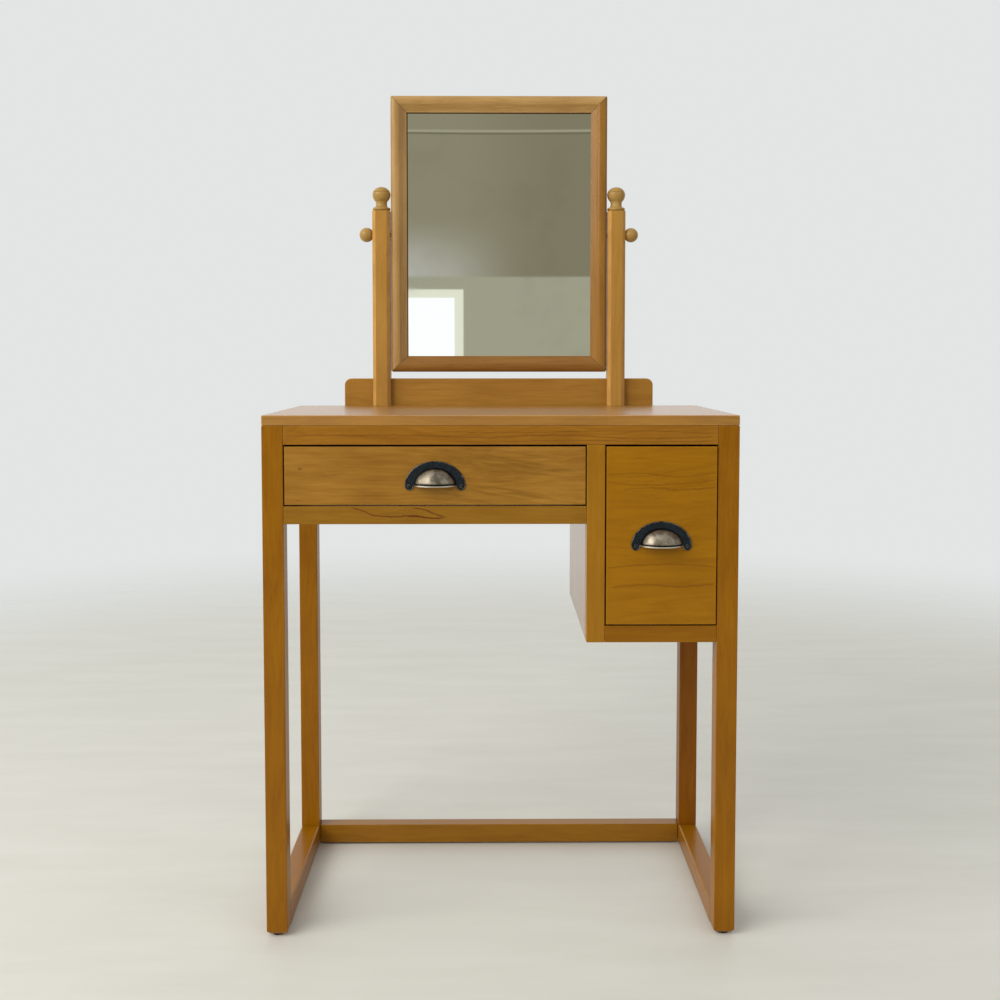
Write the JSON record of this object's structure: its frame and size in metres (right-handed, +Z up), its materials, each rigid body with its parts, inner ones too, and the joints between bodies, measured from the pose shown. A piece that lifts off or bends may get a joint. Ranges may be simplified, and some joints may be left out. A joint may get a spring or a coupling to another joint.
{
  "type": "vanity table",
  "caption": "Open-frame wooden vanity table with a shallow drawer, a deep pedestal drawer, cup pulls and a mirror that tilts between two turned-top posts.",
  "frame": {"origin": "on the floor, below the middle of the object's bounding box", "axes": "+Z up, the drawers open towards -Y, the pedestal with the deep drawer is at +X"},
  "size_m": [0.65, 0.3962, 1.228],
  "materials": {
    "top_wood": "semi-gloss lacquer over golden-brown stained hardwood",
    "front_wood": "satin lacquer over golden-brown stained hardwood, grain across",
    "leg_wood": "satin lacquer over golden-brown stained hardwood, grain lengthwise",
    "stand_wood": "satin lacquer over lighter hardwood",
    "turned_wood": "satin lacquer over turned light hardwood",
    "drawer_box_wood": "bare planed softwood",
    "plywood": "bare plywood sheet",
    "antique_iron": "dark antiqued metal rubbed to pewter on the cup",
    "screw_steel": "dulled steel",
    "mirror_glass": "silvered float glass",
    "foot_rubber": "matt black pad"
  },
  "bodies": {
    "table": {"table_top": "top_wood", "front_top_rail": "front_wood", "drawer_rail": "front_wood", "divider_stile": "front_wood", "pedestal_bottom_rail": "front_wood", "left_front_leg": "leg_wood", "left_rear_leg": "leg_wood", "right_front_leg": "leg_wood", "right_rear_leg": "leg_wood", "left_front_foot_pad": "foot_rubber", "left_rear_foot_pad": "foot_rubber", "right_front_foot_pad": "foot_rubber", "right_rear_foot_pad": "foot_rubber", "left_floor_runner": "leg_wood", "right_floor_runner": "leg_wood", "rear_stretcher": "leg_wood", "left_side_panel": "leg_wood", "right_side_panel": "leg_wood", "pedestal_inner_panel": "leg_wood", "back_apron": "leg_wood", "pedestal_back_panel": "leg_wood", "shallow_drawer_left_runner": "drawer_box_wood", "shallow_drawer_right_runner": "drawer_box_wood", "deep_drawer_left_runner": "drawer_box_wood", "deep_drawer_right_runner": "drawer_box_wood", "left_mirror_post": "stand_wood", "right_mirror_post": "stand_wood", "left_finial": "turned_wood", "right_finial": "turned_wood", "left_post_screw_1": "screw_steel", "left_post_screw_2": "screw_steel", "right_post_screw_1": "screw_steel", "right_post_screw_2": "screw_steel", "stand_rail": "stand_wood"},
    "shallow_drawer": {"shallow_drawer_front": "front_wood", "shallow_drawer_left_side": "drawer_box_wood", "shallow_drawer_right_side": "drawer_box_wood", "shallow_drawer_back": "drawer_box_wood", "shallow_drawer_bottom": "plywood", "shallow_drawer_cup_pull": "antique_iron", "shallow_drawer_pull_screw_1": "screw_steel", "shallow_drawer_pull_screw_2": "screw_steel"},
    "deep_drawer": {"deep_drawer_front": "front_wood", "deep_drawer_left_side": "drawer_box_wood", "deep_drawer_right_side": "drawer_box_wood", "deep_drawer_back": "drawer_box_wood", "deep_drawer_bottom": "plywood", "deep_drawer_cup_pull": "antique_iron", "deep_drawer_pull_screw_1": "screw_steel", "deep_drawer_pull_screw_2": "screw_steel"},
    "mirror": {"mirror_frame_bottom": "stand_wood", "mirror_frame_top": "stand_wood", "mirror_frame_left": "stand_wood", "mirror_frame_right": "stand_wood", "mirror_glass": "mirror_glass", "mirror_backing_board": "plywood"},
    "left_knob": {"left_knob": "turned_wood", "left_stud": "screw_steel"},
    "right_knob": {"right_knob": "turned_wood", "right_stud": "screw_steel"}
  },
  "joints": [
    {"name": "shallow_drawer_slide", "type": "slide", "parent": "table", "child": "shallow_drawer", "axis": [0, -1, 0], "range_m": [0, 0.24]},
    {"name": "deep_drawer_slide", "type": "slide", "parent": "table", "child": "deep_drawer", "axis": [0, -1, 0], "range_m": [0, 0.24]},
    {"name": "mirror_tilt", "type": "hinge", "parent": "table", "child": "mirror", "pos_m": [0, 0.17935, 1.004], "axis": [-1, 0, 0], "continuous": true},
    {"name": "left_knob_turn", "type": "hinge", "parent": "mirror", "child": "left_knob", "pos_m": [-0.2175, 0.17935, 1.004], "axis": [-1, 0, 0], "range_deg": [0, 540]},
    {"name": "right_knob_turn", "type": "hinge", "parent": "mirror", "child": "right_knob", "pos_m": [0.2175, 0.17935, 1.004], "axis": [1, 0, 0], "range_deg": [0, 540]}
  ]
}
